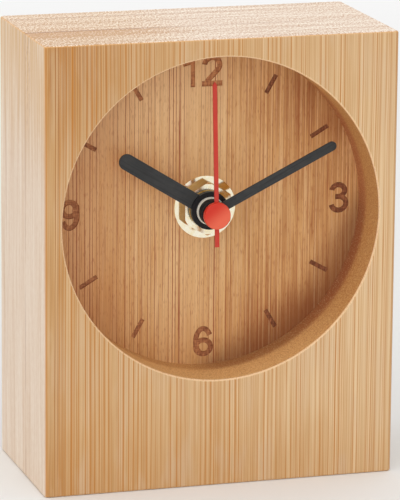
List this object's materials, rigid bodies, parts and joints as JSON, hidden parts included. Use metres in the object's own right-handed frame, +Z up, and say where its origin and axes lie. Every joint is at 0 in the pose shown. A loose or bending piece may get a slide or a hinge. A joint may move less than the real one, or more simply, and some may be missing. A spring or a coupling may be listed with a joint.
{
  "type": "table clock",
  "caption": "Upright bamboo block with a round open dial recess, brass nut, dark hour and minute hands, a red second hand and a geared quartz movement behind.",
  "frame": {"origin": "middle of the base face, under the middle of the block", "axes": "+Z up, -Y out of the dial towards the reader, +X to the reader's right; the hands' shaft runs along Y"},
  "size_m": [0.08, 0.04, 0.1],
  "materials": {
    "bamboo_front": "satin",
    "bamboo_middle": "satin",
    "bamboo_back": "satin",
    "brass": "polished",
    "rubber": "matte",
    "hand_black": "satin",
    "hand_red": "satin",
    "gear_white": "satin",
    "magnet": "matte",
    "knob_plastic": "satin",
    "steel": "brushed",
    "bobbin_plastic": "satin",
    "copper": "lacquered",
    "circuit_board": "gloss",
    "crystal_can": "polished",
    "chip_resin": "gloss",
    "battery_sleeve": "satin",
    "contact_steel": "nickel plated",
    "movement_plastic": "matte"
  },
  "bodies": {
    "case": {"front_board": "bamboo_front", "middle_board": "bamboo_middle", "back_board": "bamboo_back", "threaded_bushing": "brass", "brass_washer": "brass", "hex_nut": "brass", "rubber_gasket": "rubber", "stator": "steel", "coil_core": "steel", "coil_bobbin": "bobbin_plastic", "coil_winding": "copper", "circuit_board": "circuit_board", "quartz_crystal": "crystal_can", "clock_chip": "chip_resin", "negative_contact": "contact_steel", "positive_contact": "contact_steel", "movement_housing": "movement_plastic", "movement_cover": "movement_plastic", "train_bridge": "bobbin_plastic"},
    "minute_train": {"minute_wheel": "gear_white", "minute_hand": "hand_black"},
    "hour_train": {"hour_wheel": "gear_white", "hour_hand": "hand_black"},
    "second_train": {"second_wheel": "gear_white", "second_hand": "hand_red"},
    "third_arbor": {"third_wheel": "gear_white"},
    "intermediate_arbor": {"intermediate_wheel": "gear_white"},
    "rotor": {"rotor_pinion": "gear_white", "rotor_magnet": "magnet"},
    "motion_work": {"motion_wheel": "gear_white"},
    "setting": {"set_pinion": "gear_white", "set_knob": "knob_plastic"},
    "battery": {"battery_cell": "battery_sleeve"}
  },
  "joints": [
    {"name": "minute_turn", "type": "hinge", "parent": "case", "child": "minute_train", "pos_m": [0, 0, 0.06], "axis": [0, 1, 0], "continuous": true},
    {"name": "hour_turn", "type": "hinge", "parent": "case", "child": "hour_train", "pos_m": [0, 0, 0.06], "axis": [0, 1, 0], "continuous": true},
    {"name": "second_turn", "type": "hinge", "parent": "case", "child": "second_train", "pos_m": [0, 0, 0.06], "axis": [0, 1, 0], "continuous": true},
    {"name": "third_turn", "type": "hinge", "parent": "case", "child": "third_arbor", "pos_m": [-0.01034, 0, 0.06376], "axis": [0, 1, 0], "continuous": true},
    {"name": "intermediate_turn", "type": "hinge", "parent": "case", "child": "intermediate_arbor", "pos_m": [0.00376, 0, 0.07034], "axis": [0, 1, 0], "continuous": true},
    {"name": "rotor_turn", "type": "hinge", "parent": "case", "child": "rotor", "pos_m": [0.00376, 0, 0.07734], "axis": [0, 1, 0], "continuous": true},
    {"name": "motion_turn", "type": "hinge", "parent": "case", "child": "motion_work", "pos_m": [0.00773, 0, 0.05793], "axis": [0, 1, 0], "continuous": true},
    {"name": "knob_turn", "type": "hinge", "parent": "case", "child": "setting", "pos_m": [0.01173, 0, 0.06486], "axis": [0, 1, 0], "continuous": true},
    {"name": "battery_slide", "type": "slide", "parent": "case", "child": "battery", "axis": [0, 1, 0], "range_m": [0, 0.022]}
  ],
  "couplings": [
    {"joint": "hour_turn", "follows": "minute_turn", "ratio": 0.083333},
    {"joint": "second_turn", "follows": "minute_turn", "ratio": 60},
    {"joint": "third_turn", "follows": "minute_turn", "ratio": -8},
    {"joint": "intermediate_turn", "follows": "minute_turn", "ratio": -300},
    {"joint": "rotor_turn", "follows": "minute_turn", "ratio": 1800},
    {"joint": "motion_turn", "follows": "minute_turn", "ratio": -0.33333},
    {"joint": "knob_turn", "follows": "minute_turn", "ratio": 1}
  ]
}
